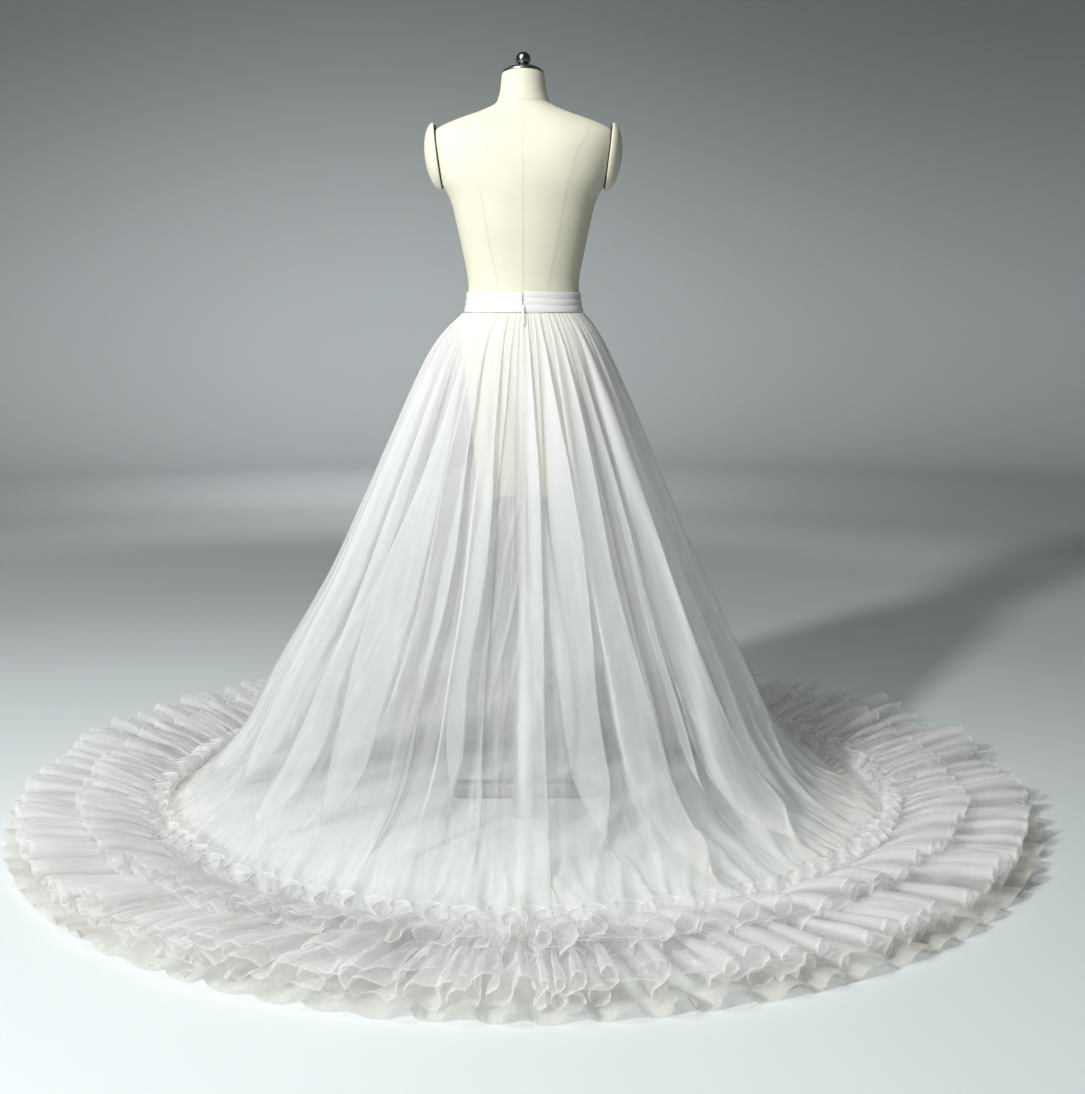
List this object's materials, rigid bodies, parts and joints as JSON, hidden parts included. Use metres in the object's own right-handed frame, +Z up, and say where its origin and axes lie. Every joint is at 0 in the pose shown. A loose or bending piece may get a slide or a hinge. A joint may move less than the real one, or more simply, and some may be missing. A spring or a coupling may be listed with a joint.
{
  "type": "tulle skirt on a dress form",
  "caption": "Floor-length gathered tulle skirt with a round ruffled train, worn by a limbless dress form on a pole with a cross base.",
  "frame": {"origin": "on the floor under the form's pole, which is also the centre of the round train", "axes": "+Z up, -Y towards the skirt's centre back, +X to the right when the back is looked at"},
  "size_m": [2.0944, 2.0935, 1.5225],
  "materials": {
    "tulle": "sheer soft white net, matte with a faint sheen on the folds",
    "ruffle_tulle": "gathered warm white net, matte",
    "satin": "white satin, soft gloss",
    "linen": "natural linen stretched over a firm body, matte",
    "armhole": "dark matte board",
    "steel": "brushed",
    "hook_steel": "plain wire",
    "zip": "white enamel and nylon",
    "pole": "bright",
    "base": "grey enamel"
  },
  "bodies": {
    "root": {"skirt_back_left": "tulle", "skirt_back_right": "tulle", "skirt_front": "tulle", "ruffle_heading": "ruffle_tulle", "ruffle_upper": "ruffle_tulle", "ruffle_middle": "ruffle_tulle", "waistband": "satin", "waist_hook": "hook_steel", "zip_coil": "zip", "zip_slider": "zip", "form_torso": "linen", "form_cap_left": "linen", "form_cap_right": "linen", "armhole_plate_left": "armhole", "armhole_plate_right": "armhole", "neck_cap": "steel", "neck_knob": "steel", "stand_pole": "pole", "stand_base": "base"},
    "pull": {"zip_pull": "zip"}
  },
  "joints": [
    {"name": "zip_pull_hinge", "type": "hinge", "parent": "root", "child": "pull", "pos_m": [0, -0.08673, 1.02366], "axis": [-1, 0, 0], "range_deg": [0, 135]}
  ]
}
